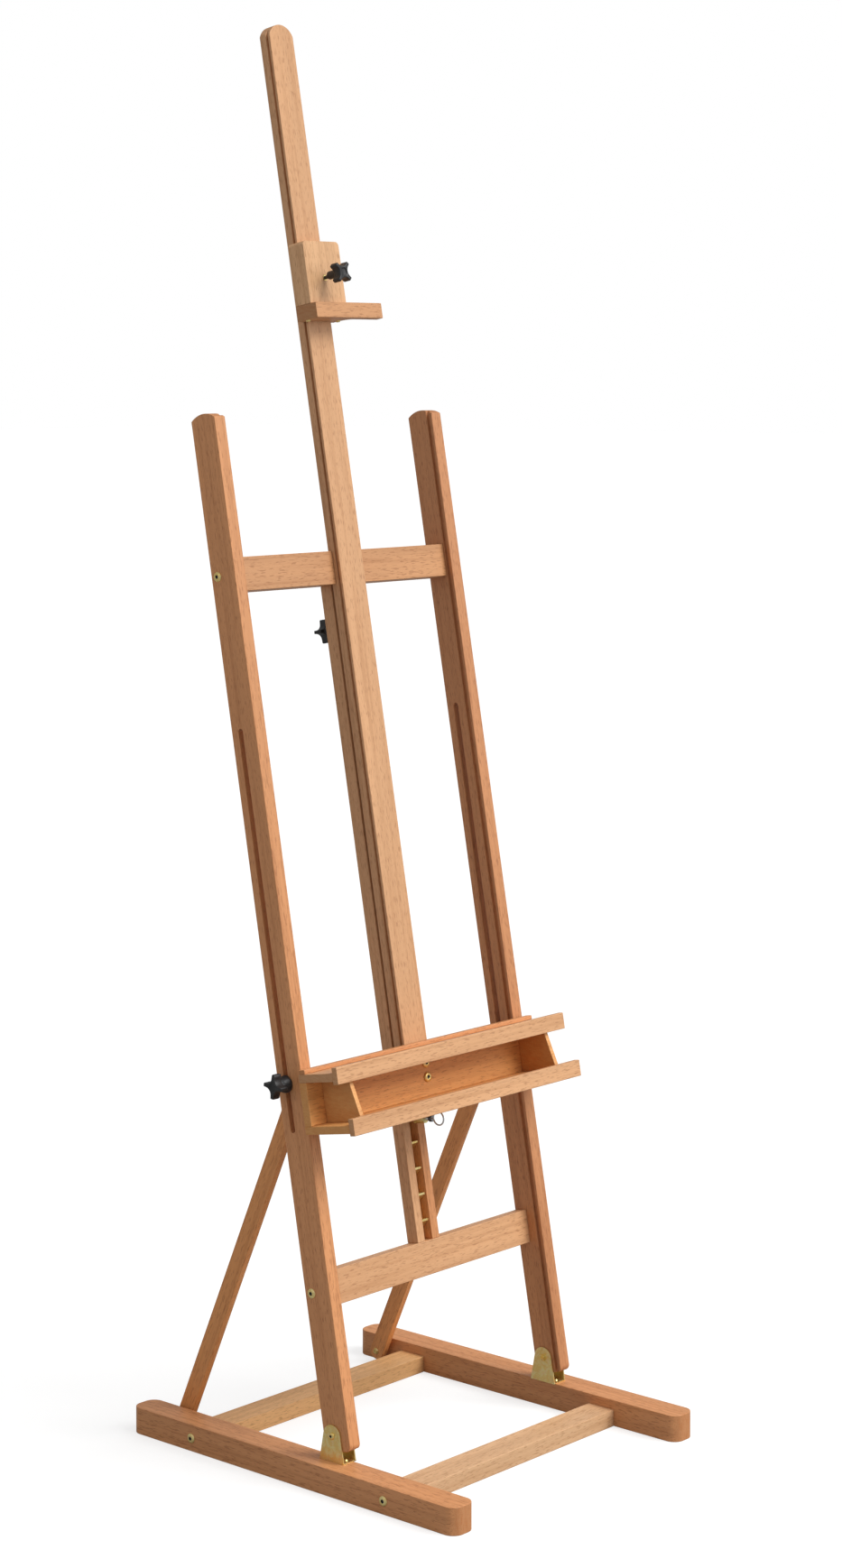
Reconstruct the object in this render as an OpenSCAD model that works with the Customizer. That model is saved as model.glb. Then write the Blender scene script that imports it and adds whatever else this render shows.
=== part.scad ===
// Wooden artist easel: an H-frame on a flat base, with a sliding mast, a tray and a canvas holder.
// X runs to the right seen from the front, Y to the back, Z up from the floor.
// The origin is on the floor, midway between the ends of the runners.
// The leaning frame has its own axes from the post pivot: X, then back (Y) and up the posts (Z).

/* [Base] */
// Width over both runners
base_w = 560; // [420:1:760]
// Length of a runner, front to back
base_l = 658; // [520:1:800]
// Width of a runner
runner_w = 48; // [36:1:70]
// Height of a runner
runner_h = 41; // [30:1:60]
// Radius of a runner's upright corners
runner_r = 18; // [2:1:22]
// Width of the two flat rails between the runners
rail_w = 49; // [36:1:70]
// Height of the two flat rails
rail_h = 26; // [22:1:36]
// Distance of the front rail's middle from the runners' front ends
front_rail_at = 144.5; // [60:0.5:220]
// Distance of the rear rail's middle from the runners' rear ends
rear_rail_at = 121.5; // [105:0.5:220]
// Distance of the rail bolts below the rails' tops
rail_bolt_drop = 6; // [5:0.5:12]

/* [Posts] */
// Angle that the frame leans back from upright, degrees
lean = 10.3; // [2:0.1:16]
// Distance of the post pivot in front of the origin
pivot_at = 70; // [30:1:120]
// Height of the post pivot above the runner
pivot_rise = 38; // [34:1:60]
// Thickness of a post, side to side
post_t = 22; // [18:1:34]
// Depth of a post, front to back
post_d = 50; // [40:1:64]
// Distance of the pivot behind the post's middle
pivot_back = 7; // [0:0.5:10]
// Post above the pivot
post_up = 1507; // [1250:1:1850]
// Post below the pivot
post_down = 23; // [18:0.5:26]
// Radius of the post's domed top, over half the post's depth
post_crown_more = 18; // [2:1:60]
// Strip of wood in front of the post's groove
groove_lip = 4.7; // [3:0.1:8]
// Width of the post's groove
groove_w = 6.6; // [4:0.1:9]
// Depth of the post's groove
groove_depth = 5; // [3:0.5:8]
// Width of the slot for the stay bolt
slot_w = 9; // [8:0.5:12]
// Lower end of the slot, up from the pivot
slot_low = 441; // [380:1:520]
// Distance of the slot's upper end below the upper crossrail
slot_top_gap = 202; // [100:1:400]

/* [Crossrails] */
// Height of a crossrail
crossrail_h = 51; // [40:1:64]
// Underside of the lower crossrail, up from the pivot
lower_rail_at = 181; // [120:1:240]
// Distance of the upper crossrail's top below the posts' tops
upper_rail_drop = 217; // [120:1:400]
// Set-back of the upper crossrail's face from the posts' faces
upper_set = 13; // [8:0.5:16]
// Set-back of the lower crossrail and channel from the posts' faces
channel_set = 27; // [24:0.5:30]
// Depth of the lower crossrail and of the channel
channel_d = 22; // [18:1:26]

/* [Channel and rack] */
// Width over both channel strips
channel_w = 49; // [42:1:60]
// Width of one channel strip
strip_w = 16; // [12:0.5:20]
// Thickness of the batten at the back of the channel
batten_t = 5; // [4:0.5:7]
// Length of the block that fills the top of the channel
top_block_l = 94; // [80:1:120]
// Distance from one ratchet tooth to the next
tooth_pitch = 39.4; // [30:0.1:50]
// Free length of the channel between the rack and the top block
rack_spare = 190; // [40:1:400]
// Top of the lowest tooth above the lower crossrail
first_tooth = 32; // [28:0.5:40]
// Reach of a tooth from the rack plate
tooth_reach = 12; // [8:0.5:13]
// Thickness of the rack plate
rack_t = 2; // [1.5:0.5:3]

/* [Mast] */
// Width of the mast
mast_w = 52; // [40:1:64]
// Depth of the mast
mast_d = 22; // [20:1:26]
// Length of the mast
mast_l = 1671; // [1400:1:1900]
// Height of the mast's lower end above the tooth that carries it
mast_rise = 18.4; // [16:0.2:40]
// Radius of the mast's rounded top, over half the mast's width
mast_crown_more = 2; // [0:0.5:30]
// Strip of wood in front of the mast's side grooves
mast_lip = 4.5; // [3:0.5:6]
// Width of the mast's side grooves
mast_groove_w = 4; // [3:0.5:5]
// Height of the mast clamp below the upper crossrail
clamp_drop = 66; // [50:1:80]

/* [Tray] */
// Overhang of the tray beyond each post
tray_over = 6.5; // [0:0.5:20]
// Thickness of the tray's back board
board_t = 14; // [10:1:18]
// Clear height between the two shelves
tray_gap = 63.5; // [45:0.5:90]
// Drop of the lower shelf's underside below the mast's lower end
tray_drop = 1.5; // [0:0.5:8]
// Thickness of the lower shelf
low_shelf_t = 12; // [9:0.5:16]
// Thickness of the upper shelf
up_shelf_t = 12.5; // [9:0.5:16]
// Depth of the lower shelf
low_shelf_d = 89; // [70:1:120]
// Depth of the upper shelf
up_shelf_d = 69; // [50:1:90]
// Thickness of the two lips
lip_t = 10; // [8:0.5:14]
// Height of the two lips
lip_h = 25; // [20:0.5:35]
// Drop of a lip below its shelf
lip_drop = 4.5; // [0:0.5:8]
// Height of the canvas strip at the back of the upper shelf
stop_h = 6.5; // [3:0.5:12]
// Depth of the canvas strip
stop_d = 12; // [6:0.5:20]
// Thickness of an end wall
wall_t = 8; // [6:0.5:12]
// Inset of an end wall from the tray's end
wall_in = 32.5; // [10:0.5:60]

/* [Canvas holder] */
// Width of the holder block
holder_w = 80; // [70:1:100]
// Height of the holder block
holder_h = 97; // [70:1:120]
// Wood in front of the mast in the holder block
holder_face = 24; // [18:1:30]
// Top of the ledge, up from the pivot
holder_at = 1668; // [1500:1:1800]
// Height of the ledge
ledge_h = 24; // [16:0.5:30]
// Reach of the ledge in front of the block
ledge_reach = 10.5; // [6:0.5:20]
// Reach of the ledge to the right of the mast's middle
ledge_right = 108; // [70:1:140]
// Thickness of the ledge's free end
ledge_tip_t = 14; // [8:0.5:20]
// Height of the holder's clamp screw above the ledge
holder_screw_up = 40; // [30:1:60]

/* [Stays] */
// Width of a stay
stay_w = 27; // [20:1:36]
// Thickness of a stay
stay_t = 12; // [9:0.5:16]
// Distance of the stay's foot from the runners' rear ends
stay_foot_at = 57; // [40:1:80]
// Height of the stay's foot pivot above the floor
stay_foot_h = 20; // [18:0.5:24]
// Height of the stay bolt above the slot's lower end
stay_bolt_at = 72; // [10:1:200]
// Gap between a stay and its post, filled by a spacer
stay_gap = 4.5; // [2:0.5:8]

/* [Hardware] */
// Diameter of the bolts
bolt_d = 6; // [5:0.5:7]
// Diameter of the flat bolt heads
head_d = 15; // [11:0.5:18]
// Thickness of the flat bolt heads
head_t = 2.5; // [1.5:0.5:4]
// Diameter of a barrel nut
nut_d = 10; // [9:0.5:12]
// Diameter of a dowel
dowel_d = 8; // [6:0.5:9]
// Sheet thickness of the post brackets
sheet_t = 2; // [1.5:0.5:3]
// Half length of a bracket's foot
bracket_half = 24; // [22:1:30]
// Radius of a bracket ear's top
ear_r = 16.5; // [14:0.5:18]
// Radius over a star knob's points
star_r = 18.5; // [15:0.5:24]
// Thickness of a star knob's head
star_t = 15; // [10:0.5:18]
// Points of a star knob
star_points = 4; // [3:1:6]
// Radius of the neck under a stay or mast knob
neck_r = 13; // [9:0.5:15]
// Length of a stay or mast knob's neck
neck_l = 15; // [12:0.5:30]

/* [Hidden] */
$fn = 64;
// Fits: a turning pin, a bolt in wood, and two pieces that slide past each other
pin_play = 0.05;
wood_play = 0.25;
slide_play = 0.3;
// Overlap of a cutter past the face that it cuts, and of shapes that are joined
cut = 1;
// Room past the end of a bolt and of a screw in its hole
bolt_room = 2;
screw_room = 1;

bolt_r = bolt_d / 2;
shaft_hole_r = bolt_r + pin_play;
wood_hole_r = bolt_r + wood_play;

// Planes of the base
runner_in = base_w / 2 - runner_w;
runner_half = base_l / 2;
rail_y = [front_rail_at - runner_half, runner_half - rear_rail_at];
rail_bolt_h = rail_h - rail_bolt_drop;
stay_foot_y = runner_half - stay_foot_at;
pivot_z = runner_h + pivot_rise;
pivot_y = -pivot_at;
rail_bolt_off = -10;
rail_dowel_off = 12;

// Planes of the frame, in the frame's own axes
post_step = 1.5;
post_in = runner_in - post_step;
post_out = post_in + post_t;
post_front = -post_d / 2 - pivot_back;
post_back = post_front + post_d;
post_crown_r = post_d / 2 + post_crown_more;
channel_front = post_front + channel_set;
channel_back = channel_front + channel_d;
upper_front = post_front + upper_set;
lower_top = lower_rail_at + crossrail_h;
upper_top = post_up - upper_rail_drop;
upper_rail_at = upper_top - crossrail_h;
slot_high = upper_rail_at - slot_top_gap;
rail_mid = (channel_front + channel_back) / 2;
crossbolt_shift = 1;
crossbolt_y = rail_mid - crossbolt_shift;

// Ratchet: the latch rests on the fifth tooth, and three teeth at the top stay unused
latch_tooth = 4;
spare_teeth = 3;
rack_end = 12;
rack_side_gap = 0.5;
tooth_root = 0.5;
tooth_h = 14;
tooth_edge = 3;
gap_half = channel_w / 2 - strip_w;
rack_half = gap_half - rack_side_gap;
block_low = upper_rail_at - top_block_l;
plate_back = channel_back - batten_t;
plate_front = plate_back - rack_t;
tooth_front = plate_front - tooth_reach;
tooth_z0 = lower_top + first_tooth;
teeth = 1 + floor((block_low - rack_spare - rack_end - tooth_z0) / tooth_pitch);
latch_z = tooth_z0 + latch_tooth * tooth_pitch;
slide_down = latch_tooth * tooth_pitch;
slide_up = (teeth - spare_teeth - latch_tooth) * tooth_pitch;

// Mast and the pieces that ride on it
tray_back = post_front - slide_play;
mast_front = tray_back;
mast_back = mast_front + mast_d;
mast_low = latch_z + mast_rise;
mast_top = mast_low + mast_l;
mast_crown_r = mast_w / 2 + mast_crown_more;
groove_front = mast_front + mast_lip;
groove_back = groove_front + mast_groove_w;
mast_groove_depth = 5;
clamp_z = upper_rail_at - clamp_drop;

// T-slot in the back of the mast for the clamp bolt's head
t_neck_w = bolt_d + 1;
t_neck_d = 4;
t_room_w = 14;
t_room_d = 6;
t_end = 18;
t_low = clamp_z - slide_up - t_end;
t_high = clamp_z + slide_down + t_end;
t_head = 13;
t_head_t = 4.5;
t_entry_r = t_head / 2 * sqrt(2) + 0.5;

// Tray
tray_half = post_out + tray_over;
tray_low = mast_low - tray_drop;
board_low = tray_low + low_shelf_t;
board_high = board_low + tray_gap;
board_front = tray_back - board_t;
up_top = board_high + up_shelf_t;
low_front = tray_back - low_shelf_d;
up_front = tray_back - up_shelf_d;
up_lip_low = board_high - lip_drop;
low_lip_raise = 1;
low_lip_low = tray_low - lip_drop + low_lip_raise;
stop_back = tray_back - 2;
tray_bolt_z = [board_high - 37, board_high - 15];
insert_r = 4.5;
insert_l = 14;
insert_room = 4;

// Canvas holder
holder_front = mast_front - slide_play - holder_face;
cheek_back = groove_back - slide_play;
holder_low = holder_at;
holder_high = holder_at + holder_h;
holder_r = 7;
ledge_low = holder_at - ledge_h;
ledge_front = holder_front - ledge_reach;
holder_screw_z = holder_at + holder_screw_up;
mast_side = mast_w / 2 + slide_play;

ledge_cove_r = 16;
ledge_screw_at = (mast_side + holder_w / 2) / 2;
ledge_screw_y = (holder_front + cheek_back) / 2;
ledge_screw_grip = 26;
ledge_screw_l = ledge_h + ledge_screw_grip;
ledge_screw_r = 2;
ledge_screw_head = 8;

// Base hardware
dowel_depth = 14;
rail_bolt_in = 34;
rail_nut_up = 4.5;
rail_nut_down = 8;
barrel_nut_at = 24;
barrel_nut_l = 16;
bracket_play = 0.5;
bracket_in = post_in - bracket_play;
bracket_out = post_out + bracket_play;
bracket_mid = (post_in + post_out) / 2;
bracket_screw_in = 9;
bracket_screw_y = [for (s = [-1, 1]) pivot_y + s * (bracket_half - bracket_screw_in)];
bracket_screw_l = 20;
bracket_screw_r = 2;
bracket_screw_head = 8;
ear_reach = sqrt(bracket_half * bracket_half + pivot_rise * pivot_rise);
ear_turn = acos(ear_r / ear_reach) - atan2(pivot_rise, bracket_half);
pivot_head_d = 11;
pivot_nut_d = 11.5;
pivot_nut_t = 5;
pivot_bolt_l = bracket_out - bracket_in + 2 * sheet_t + pivot_nut_t + bolt_room;

// Frame joints and channel
post_foot_r = 9;
crossbolt_z = [lower_rail_at + crossrail_h / 2, upper_rail_at + crossrail_h / 2];
cross_dowel_edge = 9.5;
cross_dowel_off = cross_dowel_edge - crossrail_h / 2;
cross_dowel_in = 10;
cross_bolt_in = 34;
strip_mid = (channel_w - strip_w) / 2;
strip_dowel_in = 15;
rack_low_gap = 4;
rack_low = lower_top + rack_low_gap;
rack_high = tooth_z0 + (teeth - 1) * tooth_pitch + rack_end;
rack_screw_r = 1.75;
rack_screw_head = 6.5;
rack_screw_l = rack_t + batten_t - screw_room;
rack_screw_drop = 0.62;
rack_screw_z = [for (k = [1 : 5 : teeth - 1]) tooth_z0 + (k - rack_screw_drop) * tooth_pitch];

// Tray joints and guides
tongue_play = 0.4;
tray_bolt_l = board_t + insert_l - screw_room;
wall_out = tray_half - wall_in;
wall_in_face = wall_out - wall_t;
wall_mid = wall_out - wall_t / 2;
wall_foot_set = 4;
wall_top_set = 1;
tray_screw_y = [board_front - 12, low_front + 22];
tray_screw_grip = 14;
tray_screw_l = low_shelf_t + tray_screw_grip;
tray_screw_r = 1.75;
tray_screw_head = 7;
guide_play = 0.5;
guide_w = 16;
guide_out = post_in - guide_play;
guide_in = guide_out - guide_w;
guide_mid = (guide_in + guide_out) / 2;
guide_back = post_front + 12.5;
guide_short = 2;
guide_z = [board_low + guide_short, board_high - guide_short];
guide_screw_in = 16;
guide_screw_z = [board_low + guide_screw_in, board_high - guide_screw_in];
guide_screw_grip = 9;
guide_screw_l = guide_back - tray_back + guide_screw_grip;

// Stays
bolt_up = slot_low + stay_bolt_at;
bolt_y = pivot_y + bolt_up * sin(lean);
bolt_z = pivot_z + bolt_up * cos(lean);
stay_run = stay_foot_y - bolt_y;
stay_rise = bolt_z - stay_foot_h;
stay_l = sqrt(stay_run * stay_run + stay_rise * stay_rise);
stay_lean = atan2(stay_run, stay_rise);
stay_out = post_in - stay_gap;
stay_in = stay_out - stay_t;
stay_head_r = 6.5;
stay_head_t = 3;
foot_screw_r = 2.5;
foot_screw_in = 30;
foot_screw_head = 10.5;
foot_washer_r = 8;

// Knobs
washer_t = 1.5;
washer_r = 9;
bore_end = 5;
dish_depth = 1.5;
dish_r = 0.3 * star_r;
scoop_r = 0.67 * star_r;
scoop_at = 1.157 * star_r;
mast_knob_foot = channel_back + washer_t + slide_play;
stay_knob_foot = post_out + slide_play;
holder_neck_r = 6.5;
holder_neck_l = 17;
holder_knob_gap = 8;
holder_knob_foot = holder_front - holder_knob_gap;
holder_screw_in = 20;

// Latch, drawn back from the teeth by its travel
latch_axis = latch_z - 5.6;
latch_travel = 6;
nose_half = gap_half - 2;
nose_tip = tooth_front - 1;
nose_edge = 2;
nose_h = 8;
pawl_t = 3;
pawl_above = 9;
pawl_below = 5;
pawl_back = channel_front - 1 - latch_travel;
pawl_front = pawl_back - pawl_t;
barrel_r = 6.5;
barrel_bore = 4.8;
barrel_wall = 2;
barrel_front = mast_front + 1;
barrel_back = pawl_front - slide_play;
barrel_mid = (barrel_front + barrel_back) / 2;
flange_half = 19;
flange_t = 2;
web_half = 2;
latch_screw_x = 13;
latch_screw_l = 20;
latch_screw_head = 6.5;
rod_r = 3;
rod_front = barrel_front - 9;
collar_l = 4.5;
collar_t = 1.8;
ring_wire = 1.25;
ring_r = 10.2;
ring_gap = 3;
ring_y = rod_front - collar_l - ring_gap - ring_r;
ring_shank_r = 1.8;
ring_shank = 5;

// Hexagon socket of a bolt's head, and cross recess of a screw's
socket_w = 4.6;
socket_depth = 1.6;
cross_w = 0.8;
cross_depth = 1;

beech = [0.80, 0.60, 0.42];
beech_dark = [0.72, 0.51, 0.34];
zinc = [0.83, 0.75, 0.48];
steel = [0.70, 0.70, 0.70];
black = [0.07, 0.07, 0.07];

// ---- Helpers ----

// Box between two values on each axis
module block(x, y, z) {
    translate([x[0], y[0], z[0]]) cube([x[1] - x[0], y[1] - y[0], z[1] - z[0]]);
}

// Moves its children into the leaning frame's axes
module on_frame() {
    translate([0, pivot_y, pivot_z]) rotate([-lean, 0, 0]) children();
}

// Round bar along X, from x[0] to x[1]
module bar_x(x, r) {
    translate([x[0], 0, 0]) rotate([0, 90, 0]) cylinder(h = x[1] - x[0], r = r);
}

// Round bar along Y, from y[0] to y[1]
module bar_y(y, r) {
    translate([0, y[0], 0]) rotate([-90, 0, 0]) cylinder(h = y[1] - y[0], r = r);
}

// Repeats its children on the left and the right
module both_sides() {
    children();
    mirror([1, 0, 0]) children();
}

// Flat-headed bolt along -Z, with a hexagon socket in its head
module socket_bolt(length, r = bolt_r, d = head_d) {
    difference() {
        union() {
            cylinder(h = head_t, d = d);
            translate([0, 0, -length]) cylinder(h = length, r = r);
        }
        translate([0, 0, head_t - socket_depth])
            cylinder(h = socket_depth + cut, d = socket_w, $fn = 6);
    }
}

// Round-headed wood screw along -Z, with a cross-shaped recess
module wood_screw(length, r, head) {
    head_h = 0.25 * head;
    difference() {
        union() {
            cylinder(h = head_h, r1 = head / 2, r2 = 0.35 * head);
            translate([0, 0, 2 * r - length]) cylinder(h = length - 2 * r, r = r);
            translate([0, 0, -length]) cylinder(h = 2 * r, r1 = 0.3 * r, r2 = r);
        }
        for (turn = [0, 90]) rotate([0, 0, turn])
            block([-head / 4, head / 4], [-cross_w / 2, cross_w / 2],
                [head_h - cross_depth, head_h + cut]);
    }
}

// Star knob head along +Z
module star_head() {
    difference() {
        cylinder(h = star_t, r = star_r);
        for (k = [0 : star_points - 1]) rotate([0, 0, (k + 0.5) * 360 / star_points])
            translate([scoop_at, 0, -cut]) cylinder(h = star_t + 2 * cut, r = scoop_r);
        translate([0, 0, star_t - dish_depth]) cylinder(h = dish_depth + cut, r = dish_r);
    }
}

// Star knob along +Z from its foot, with a blind bore of radius bore
module star_knob(r, l, bore) {
    difference() {
        union() {
            cylinder(h = l + cut, r = r);
            translate([0, 0, l]) star_head();
        }
        translate([0, 0, -cut]) cylinder(h = l + star_t - bore_end + cut, r = bore);
    }
}

// ---- Base ----

module runner() {
    x0 = runner_in;
    x1 = base_w / 2;
    y1 = runner_half;
    difference() {
        union() {
            block([x0, x1], [-y1 + runner_r, y1 - runner_r], [0, runner_h]);
            block([x0 + runner_r, x1 - runner_r], [-y1, y1], [0, runner_h]);
            for (x = [x0 + runner_r, x1 - runner_r], y = [-y1 + runner_r, y1 - runner_r])
                translate([x, y, 0]) cylinder(h = runner_h, r = runner_r);
        }
        for (y = rail_y) {
            translate([0, y + rail_bolt_off, rail_bolt_h]) bar_x([x0 - cut, x1 + cut], wood_hole_r);
            translate([0, y + rail_dowel_off, rail_h / 2])
                bar_x([x0 - cut, x0 + dowel_depth], dowel_d / 2 + pin_play);
        }
        translate([0, stay_foot_y, stay_foot_h])
            bar_x([x0 - cut, x0 + foot_screw_in], foot_screw_r + pin_play);
        for (y = bracket_screw_y)
            translate([bracket_mid, y, runner_h - bracket_screw_l])
                cylinder(h = bracket_screw_l + cut, r = bracket_screw_r + pin_play);
    }
}

module left_runner() color(beech) mirror([1, 0, 0]) runner();
module right_runner() color(beech) runner();

module base_rail(y) {
    difference() {
        block([-runner_in, runner_in], [y - rail_w / 2, y + rail_w / 2], [0, rail_h]);
        both_sides() {
            translate([0, y + rail_bolt_off, rail_bolt_h]) {
                bar_x([runner_in - rail_bolt_in, runner_in + cut], wood_hole_r);
                translate([runner_in - barrel_nut_at, 0, -rail_bolt_h - cut])
                    cylinder(h = rail_bolt_h + rail_nut_up + cut, d = nut_d + 2 * pin_play);
            }
            translate([0, y + rail_dowel_off, rail_h / 2])
                bar_x([runner_in - dowel_depth, runner_in + cut], dowel_d / 2 + pin_play);
        }
    }
}

module front_rail() color(beech) base_rail(rail_y[0]);
module rear_rail() color(beech) base_rail(rail_y[1]);

module rail_bolts() color(zinc)
    both_sides() for (y = rail_y)
        translate([base_w / 2, y + rail_bolt_off, rail_bolt_h])
            rotate([0, 90, 0]) socket_bolt(runner_w + rail_bolt_in - bolt_room);

module rail_nuts() color(zinc)
    both_sides() for (y = rail_y)
        translate([runner_in - barrel_nut_at, y + rail_bolt_off, rail_bolt_h]) difference() {
            translate([0, 0, -rail_nut_down]) cylinder(h = rail_nut_down + rail_nut_up, d = nut_d);
            bar_x([-nut_d, nut_d], shaft_hole_r);
        }

module rail_dowels() color(beech_dark)
    both_sides() for (y = rail_y)
        translate([0, y + rail_dowel_off, rail_h / 2])
            bar_x([runner_in - dowel_depth, runner_in + dowel_depth], dowel_d / 2);

// ---- Post brackets ----

// Side plate of a bracket: a round top with two straight sides that touch it
module bracket_ear() {
    tx = ear_r * cos(ear_turn);
    tz = ear_r * sin(ear_turn);
    rotate([90, 0, 90]) linear_extrude(sheet_t)
        polygon([[-bracket_half, -pivot_rise], [bracket_half, -pivot_rise], [tx, tz], [-tx, tz]]);
    bar_x([0, sheet_t], ear_r);
}

module bracket() {
    difference() {
        union() {
            for (x = [bracket_in - sheet_t, bracket_out])
                translate([x, pivot_y, pivot_z]) bracket_ear();
            block([bracket_in - sheet_t, bracket_out + sheet_t],
                [pivot_y - bracket_half, pivot_y + bracket_half], [runner_h, runner_h + sheet_t]);
        }
        translate([0, pivot_y, pivot_z])
            bar_x([bracket_in - sheet_t - cut, bracket_out + sheet_t + cut], shaft_hole_r);
        for (y = bracket_screw_y) translate([bracket_mid, y, runner_h - cut])
            cylinder(h = sheet_t + 2 * cut, r = bracket_screw_r + pin_play);
    }
}

module left_bracket() color(zinc) mirror([1, 0, 0]) bracket();
module right_bracket() color(zinc) bracket();

module bracket_screws() color(zinc)
    both_sides() for (y = bracket_screw_y)
        translate([bracket_mid, y, runner_h + sheet_t])
            wood_screw(bracket_screw_l, bracket_screw_r, bracket_screw_head);

module pivot_bolts() color(zinc)
    both_sides() translate([bracket_out + sheet_t, pivot_y, pivot_z])
        rotate([0, 90, 0]) socket_bolt(pivot_bolt_l, bolt_r, pivot_head_d);

module pivot_nuts() color(zinc)
    both_sides() translate([bracket_in - sheet_t - pivot_nut_t, pivot_y, pivot_z]) rotate([0, 90, 0])
        difference() {
            cylinder(h = pivot_nut_t, d = pivot_nut_d, $fn = 6);
            translate([0, 0, -cut]) cylinder(h = pivot_nut_t + 2 * cut, r = shaft_hole_r);
        }

module stay_foot_screws() color(zinc)
    both_sides() translate([stay_in - slide_play, stay_foot_y, stay_foot_h]) rotate([0, -90, 0])
        wood_screw(runner_in + foot_screw_in - screw_room - stay_in, foot_screw_r, foot_screw_head);

module stay_foot_washers() color(zinc)
    both_sides() translate([0, stay_foot_y, stay_foot_h]) difference() {
        bar_x([stay_out + slide_play, runner_in], foot_washer_r);
        bar_x([stay_out - cut, runner_in + cut], foot_screw_r + pin_play);
    }

// ---- Frame ----

// A post before its cuts: domed top and a round front corner at the foot
module post_blank() {
    mid = (post_front + post_back) / 2;
    difference() {
        intersection() {
            block([0, post_t], [post_front, post_back], [-post_down, post_up]);
            translate([0, mid, post_up - post_crown_r]) union() {
                bar_x([-cut, post_t + cut], post_crown_r);
                block([-cut, post_t + cut], [-post_d, post_d], [-2 * post_up, 0]);
            }
        }
        block([-cut, post_t + cut], [post_front - cut, post_front + post_foot_r],
            [-post_down - cut, post_foot_r - post_down]);
    }
    translate([0, post_front + post_foot_r, post_foot_r - post_down]) bar_x([0, post_t], post_foot_r);
}

module post() {
    difference() {
        translate([post_in, 0, 0]) post_blank();
        block([post_in - cut, post_in + groove_depth],
            [post_front + groove_lip, post_front + groove_lip + groove_w],
            [-post_down - cut, post_up + cut]);
        block([post_in - cut, post_out + cut], [-slot_w / 2, slot_w / 2],
            [slot_low + slot_w / 2, slot_high - slot_w / 2]);
        for (z = [slot_low + slot_w / 2, slot_high - slot_w / 2])
            translate([0, 0, z]) bar_x([post_in - cut, post_out + cut], slot_w / 2);
        bar_x([post_in - cut, post_out + cut], shaft_hole_r);
        for (z = crossbolt_z) {
            translate([0, crossbolt_y, z]) bar_x([post_in - cut, post_out + cut], wood_hole_r);
            translate([0, crossbolt_y, z + cross_dowel_off])
                bar_x([post_in - cut, post_in + cross_dowel_in], dowel_d / 2 + pin_play);
        }
    }
}

module left_post() color(beech) on_frame() mirror([1, 0, 0]) post();
module right_post() color(beech) on_frame() post();

// Holes in both ends of a crossrail for its bolts, barrel nuts and dowels
module crossrail_holes(z) {
    both_sides() {
        translate([0, crossbolt_y, z])
            bar_x([post_in - cross_bolt_in, post_in + cut], wood_hole_r);
        translate([post_in - barrel_nut_at, 0, z])
            bar_y([crossbolt_y - barrel_nut_l / 2, channel_back + cut], nut_d / 2 + pin_play);
        translate([0, crossbolt_y, z + cross_dowel_off])
            bar_x([post_in - cross_dowel_in * 2, post_in + cut], dowel_d / 2 + pin_play);
    }
}

// Holes for the dowels between the channel strips and a crossrail, from z[0] to z[1]
module strip_dowel_holes(z) {
    both_sides() translate([strip_mid, rail_mid, z[0]])
        cylinder(h = z[1] - z[0], d = dowel_d + 2 * pin_play);
}

module upper_crossrail() color(beech) on_frame() difference() {
    block([-post_in, post_in], [upper_front, channel_back], [upper_rail_at, upper_top]);
    crossrail_holes(crossbolt_z[1]);
    block([-mast_side, mast_side], [upper_front - cut, mast_back + 2 * slide_play],
        [upper_rail_at - cut, upper_top + cut]);
    strip_dowel_holes([upper_rail_at - cut, upper_rail_at + strip_dowel_in]);
}

module lower_crossrail() color(beech) on_frame() difference() {
    block([-post_in, post_in], [channel_front, channel_back], [lower_rail_at, lower_top]);
    crossrail_holes(crossbolt_z[0]);
    strip_dowel_holes([lower_top - strip_dowel_in, lower_top + cut]);
}

module crossrail_bolts() color(zinc) on_frame()
    both_sides() for (z = crossbolt_z) translate([post_out, crossbolt_y, z])
        rotate([0, 90, 0]) socket_bolt(post_t + cross_bolt_in - bolt_room);

module crossrail_nuts() color(zinc) on_frame()
    both_sides() for (z = crossbolt_z) translate([post_in - barrel_nut_at, 0, z]) difference() {
        bar_y([crossbolt_y - barrel_nut_l / 2, crossbolt_y + barrel_nut_l / 2], nut_d / 2);
        translate([0, crossbolt_y, 0]) bar_x([-nut_d, nut_d], shaft_hole_r);
    }

// Dowels of the crossrails in the posts, and of the channel in the crossrails
module frame_dowels() color(beech_dark) on_frame() both_sides() {
    for (z = crossbolt_z) translate([0, crossbolt_y, z + cross_dowel_off])
        bar_x([post_in - cross_dowel_in * 2, post_in + cross_dowel_in], dowel_d / 2);
    for (z = [lower_top, upper_rail_at]) translate([strip_mid, rail_mid, z - strip_dowel_in])
        cylinder(h = 2 * strip_dowel_in, d = dowel_d);
}

// ---- Channel and ratchet ----

module channel_strip() difference() {
    block([gap_half, channel_w / 2], [channel_front, channel_back], [lower_top, upper_rail_at]);
    strip_dowel_holes([lower_top - cut, lower_top + strip_dowel_in]);
    strip_dowel_holes([upper_rail_at - strip_dowel_in, upper_rail_at + cut]);
}

module channel_left() color(beech) on_frame() mirror([1, 0, 0]) channel_strip();
module channel_right() color(beech) on_frame() channel_strip();

module channel_batten() color(beech_dark) on_frame() difference() {
    block([-gap_half, gap_half], [plate_back, channel_back], [lower_top, block_low]);
    for (z = rack_screw_z) translate([0, 0, z])
        bar_y([plate_back - cut, plate_back + rack_screw_l - rack_t], rack_screw_r + pin_play);
}

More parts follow.
